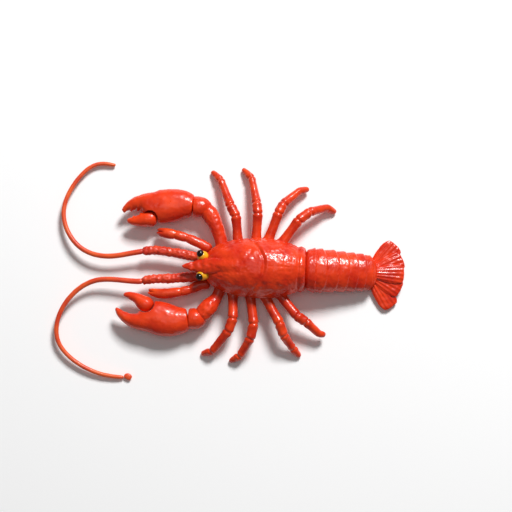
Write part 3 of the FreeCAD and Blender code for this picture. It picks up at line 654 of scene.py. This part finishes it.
# Where each ring starts, its half-width and half-depth there, and the height of its middle.
TAIL_RINGS = [
    (16.0, 7.5, 6.2, 6.9), (19.2, 7.9, 6.0, 6.7), (23.4, 7.75, 5.7, 6.4), (27.6, 7.45, 5.3, 6.0),
    (31.2, 7.1, 4.8, 5.5), (34.6, 6.9, 4.3, 5.0), (37.6, 6.6, 3.9, 4.6), (40.0, 6.2, 3.3, 4.2),
]


def make_abdomen():
    """Overlapping rings: each swells to a lip at its rear edge and steps down to the next."""
    stations = [(TAIL_FRONT - 0.9, 0, 7.0, 4.6, 3.8), (TAIL_FRONT - 0.5, 0, 7.0, 6.2, 5.2)]
    for ring, following in zip(TAIL_RINGS, TAIL_RINGS[1:]):
        x, wide, deep, height = ring
        next_x, next_wide, next_deep, next_height = following
        for share, swell in ((0.06, 0.975), (0.25, 1.0), (0.60, 1.02), (0.84, 1.045), (0.95, 1.045), (1.0, 0.975)):
            stations.append((x + (next_x - x) * share, 0, between(height, next_height, share),
                             swell * between(wide, next_wide, share), swell * between(deep, next_deep, share)))
    stations += [(40.6, 0, 4.1, 5.0, 2.4), (41.6, 0, 3.9, 3.4, 1.6)]
    bm = rounded(lofted(stations, sides=20, along=FORWARDS), MEDIUM)

    def sweep(place):
        """The rings' lower flanks lean forwards, from the second ring on."""
        side_share = min(abs(place.y) / 7.5, 1)
        return Vector((-1.5 * side_share ** 3, 0, 0)) * min(max((place.x - TAIL_FRONT - 3) / 3, 0), 1)

    shift(bm, sweep)
    push(bm, lambda place, normal: 0.11 * wrinkle(place, 2.2) + 0.04 * wrinkle(place, 0.9, 2))
    shift(bm, lambda place: Vector((0, 0, max(0.3 - place.z, 0))))
    return finish_piece(bm, "abdomen_skin", "tail", SHELL_RED, ["abdomen"])


FAN_LOBES = [
    ("outer_right", 48, 14.4, 3.7, 2.3), ("outer_left", -54, 14.8, 3.4, 1.9),
    ("inner_right", 24, 13.3, 3.6, 3.0), ("inner_left", -26, 13.0, 3.6, 2.7), ("middle", 0, 12.7, 3.5, 3.7),
]


def make_lobe(angle, length, half_width, height):
    """One ribbed leaf of the tail fan."""
    line = [(0.0, 0.40, 1.0), (0.16, 0.60, 1.0), (0.38, 0.86, 0.95), (0.62, 1.04, 0.85), (0.82, 1.06, 0.75),
            (0.94, 0.92, 0.62), (1.0, 0.62, 0.4)]
    stations = [(share * length, 0, -0.4 * share, wide * half_width, thick) for share, wide, thick in line]
    bm = rounded(lofted(stations, sides=16, along=FORWARDS), MEDIUM)

    def ribs(place, normal):
        spread = place.y / (0.5 + 0.6 * min(place.x / length, 1))
        rib = 0.065 * math.cos(spread * math.tau / 1.45) * abs(normal.z) * min(place.x / 3, 1)
        return rib + 0.10 * wrinkle(place, 1.6)

    push(bm, ribs)
    root = Vector((corners("tail_fan")[0].x + 1.2, 0, height))
    turn = Matrix.Translation(root) @ Matrix.Rotation(math.radians(angle), 4, "Z")
    bmesh.ops.transform(bm, matrix=turn, verts=list(bm.verts))
    shift(bm, lambda place: Vector((0, 0, max(0.15 - place.z, 0))))
    return bm


def make_fan():
    for name, angle, length, half_width, height in FAN_LOBES:
        bm = make_lobe(angle, length, half_width, height)
        finish_piece(bm, f"fan_lobe_{name}", "tail", SHELL_RED, ["tail_fan"] if name == "middle" else ())


# ---- studio -----------------------------------------------------------------------------------
def plain(name, colour, roughness):
    material = bpy.data.materials.new(name)
    material.use_nodes = True
    shader = material.node_tree.nodes["Principled BSDF"]
    shader.inputs["Base Color"].default_value = (*colour, 1)
    shader.inputs["Roughness"].default_value = roughness
    shader.inputs["Specular IOR Level"].default_value = 0.2
    return material


def make_floor():
    bm = bmesh.new()
    bmesh.ops.create_grid(bm, x_segments=1, y_segments=1, size=1.5)
    floor = as_object(bm, "floor")
    floor.data.materials.append(plain("floor_white", (0.95, 0.95, 0.95), 0.8))


def make_world():
    world = bpy.data.worlds.new("studio")
    world.use_nodes = True
    nodes, links = world.node_tree.nodes, world.node_tree.links
    seen = nodes.new("ShaderNodeLightPath")
    strength = nodes.new("ShaderNodeMapRange")
    strength.inputs["To Min"].default_value = 0.15
    strength.inputs["To Max"].default_value = 1.0
    links.new(seen.outputs["Is Camera Ray"], strength.inputs["Value"])
    background = nodes["Background"]
    background.inputs["Color"].default_value = (1, 1, 1, 1)
    links.new(strength.outputs["Result"], background.inputs["Strength"])
    bpy.context.scene.world = world


def make_lamp(name, place, aim, power, width):
    lamp = bpy.data.lights.new(name, "AREA")
    lamp.energy = power
    lamp.size = width
    obj = bpy.data.objects.new(name, lamp)
    obj.location = place
    obj.rotation_euler = (Vector(aim) - Vector(place)).to_track_quat("-Z", "Y").to_euler()
    bpy.context.scene.collection.objects.link(obj)


CAMERA_AIM = Vector((-0.0023, 0.0045, 0.006))
CAMERA_DISTANCE = 0.46
CAMERA_TILT = math.radians(6)         # leaning towards the left flank
CAMERA_ROLL = math.radians(-1.95)
CAMERA_FIELD = 0.1843                 # width of the view at the aim


def make_camera():
    camera = bpy.data.cameras.new("camera")
    camera.sensor_width = 36
    camera.lens = 36 * CAMERA_DISTANCE / CAMERA_FIELD
    obj = bpy.data.objects.new("camera", camera)
    away = Vector((0, -math.sin(CAMERA_TILT), math.cos(CAMERA_TILT)))
    turn = Matrix.Rotation(CAMERA_TILT, 4, "X") @ Matrix.Rotation(-CAMERA_ROLL, 4, "Z")
    obj.matrix_world = Matrix.Translation(CAMERA_AIM + away * CAMERA_DISTANCE) @ turn
    bpy.context.scene.collection.objects.link(obj)
    bpy.context.scene.camera = obj


bpy.context.scene.view_settings.view_transform = "Standard"
make_camera()
make_world()
make_floor()
make_lamp("window", (0.27, 0.72, 0.76), (0, 0, 0), 14.2, 0.28)
make_lamp("ceiling", (-0.05, 0.05, 0.9), (0, 0, 0), 0.6, 0.4)

# ---- pieces -----------------------------------------------------------------------------------
make_carapace()
make_rostrum()
make_belly()
make_abdomen()
make_fan()
for side, sign in SIDES.items():
    make_eye(side, sign)
    make_mouth_limb(side, sign)
    make_arm(side, sign)
    make_claw(side, sign)
    make_antenna(side, sign)
    pin = frame["nodes"][f"{side}_claw_pin"]
    pin.data.materials.clear()
    pin.data.materials.append(CLAW_RED)
for side, number in LEG_LINE:
    make_leg(side, number)
